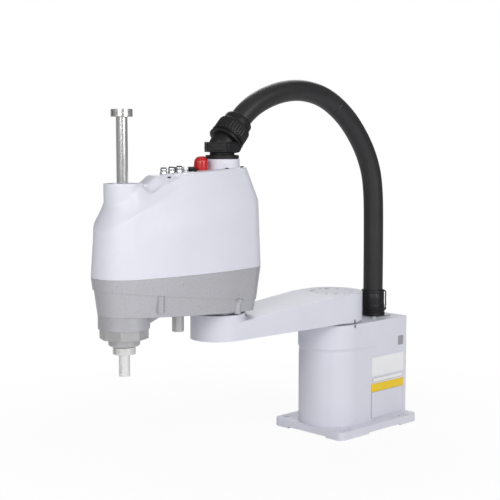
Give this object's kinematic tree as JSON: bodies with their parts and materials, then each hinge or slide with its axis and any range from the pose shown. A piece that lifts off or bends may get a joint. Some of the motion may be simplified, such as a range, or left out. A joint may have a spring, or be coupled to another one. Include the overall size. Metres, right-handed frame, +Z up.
{
  "type": "scara robot",
  "caption": "Four-axis SCARA robot arm on a column base, with a white cover over the second arm, a hollow spline shaft for the tool and an external hose.",
  "frame": {"origin": "on the first joint's axis, at the flat underside of the base", "axes": "+Z up along the first joint, +X from the first joint along the straight arm to the tool shaft"},
  "size_m": [0.8, 0.192, 0.7283],
  "materials": {
    "grey_white_paint": "satin paint",
    "grey_paint": "satin paint",
    "white_plastic": "satin moulding",
    "black_plastic": "matte",
    "red_plastic": "gloss",
    "red_lens": "gloss, tinted",
    "black_hose": "matte",
    "black_rubber": "matte",
    "steel": "ground",
    "zinc_plate": "zinc plated",
    "bare_aluminium": "machined",
    "black_oxide": "black oxide"
  },
  "bodies": {
    "base": {"base_air_fittings": "black_plastic", "base_casting": "grey_white_paint", "conduit_fitting": "black_plastic", "conduit_latch": "black_plastic", "conduit_plate": "zinc_plate", "conduit_plate_screws": "black_oxide", "hose_lower": "black_hose", "j1_motor": "black_oxide", "j1_reducer": "steel", "power_socket": "black_plastic", "rear_panel": "grey_white_paint", "signal_socket": "black_plastic"},
    "arm1": {"arm_one_casting": "grey_white_paint", "grease_plug": "black_oxide", "j1_output_disc": "steel", "j1_output_screws": "black_oxide", "j2_reducer": "steel"},
    "arm2": {"ball_nut_bearing": "steel", "brake_button_housing": "black_plastic", "cable_duct": "grey_white_paint", "drive_plate": "bare_aluminium", "duct_lock_ring": "black_plastic", "head_air_fittings": "black_plastic", "head_casting": "grey_paint", "head_connector": "black_plastic", "head_cover": "white_plastic", "hose_elbow": "black_plastic", "hose_union_nut": "black_plastic", "hose_upper": "black_hose", "j2_motor": "black_oxide", "j2_output_disc": "steel", "j2_stop_pin": "steel", "j3_motor": "black_oxide", "j4_motor": "black_oxide", "lamp_base": "black_plastic", "lamp_lens": "red_lens", "lift_belt": "black_rubber", "lift_motor_bracket": "bare_aluminium", "retainer_flange": "steel", "retainer_screws": "black_oxide", "roll_belt": "black_rubber", "spline_nut_bearing": "steel"},
    "brake_button": {"brake_button": "red_plastic"},
    "spline_nut": {"roll_pulley": "bare_aluminium", "spline_nut": "steel", "spline_nut_ring": "steel"},
    "ball_nut": {"ball_nut": "steel", "lift_pulley": "bare_aluminium"},
    "roll_drive": {"roll_drive_pulley": "bare_aluminium"},
    "lift_drive": {"lift_drive_pulley": "bare_aluminium"},
    "shaft": {"lower_collar": "steel", "lower_collar_screw": "black_oxide", "spline_shaft": "steel", "upper_collar": "steel", "upper_collar_screw": "black_oxide"}
  },
  "joints": [
    {"name": "j1", "type": "hinge", "parent": "base", "child": "arm1", "pos_m": [0, 0, 0.2284], "axis": [0, 0, 1], "range_deg": [-120, 120], "deforming": ["hose_upper", "hose_lower"]},
    {"name": "j2", "type": "hinge", "parent": "arm1", "child": "arm2", "pos_m": [0.325, 0, 0.2822], "axis": [0, 0, 1], "range_deg": [-135, 135], "deforming": ["hose_upper", "hose_lower"]},
    {"name": "j4", "type": "hinge", "parent": "arm2", "child": "spline_nut", "pos_m": [0.55, 0, 0.3], "axis": [0, 0, 1], "range_deg": [-360, 360]},
    {"name": "j3", "type": "slide", "parent": "spline_nut", "child": "shaft", "axis": [0, 0, 1], "range_m": [-0.18, 0]},
    {"name": "lift_nut_turn", "type": "hinge", "parent": "arm2", "child": "ball_nut", "pos_m": [0.55, 0, 0.4], "axis": [0, 0, 1], "range_deg": [-3240, 0]},
    {"name": "lift_drive_turn", "type": "hinge", "parent": "arm2", "child": "lift_drive", "pos_m": [0.466, 0, 0.4], "axis": [0, 0, 1], "range_deg": [-6480, 0]},
    {"name": "roll_drive_turn", "type": "hinge", "parent": "arm2", "child": "roll_drive", "pos_m": [0.402, 0, 0.355], "axis": [0, 0, 1], "range_deg": [-720, 720]},
    {"name": "brake_button_press", "type": "slide", "parent": "arm2", "child": "brake_button", "axis": [0, 0, 1], "range_m": [-0.002, 0], "stiffness_N_per_m": 1000, "springref_m": 0.001}
  ],
  "couplings": [
    {"joint": "lift_nut_turn", "follows": "j3", "rad_per_m": 314.16},
    {"joint": "lift_drive_turn", "follows": "j3", "rad_per_m": 628.32},
    {"joint": "roll_drive_turn", "follows": "j4", "ratio": 2}
  ]
}
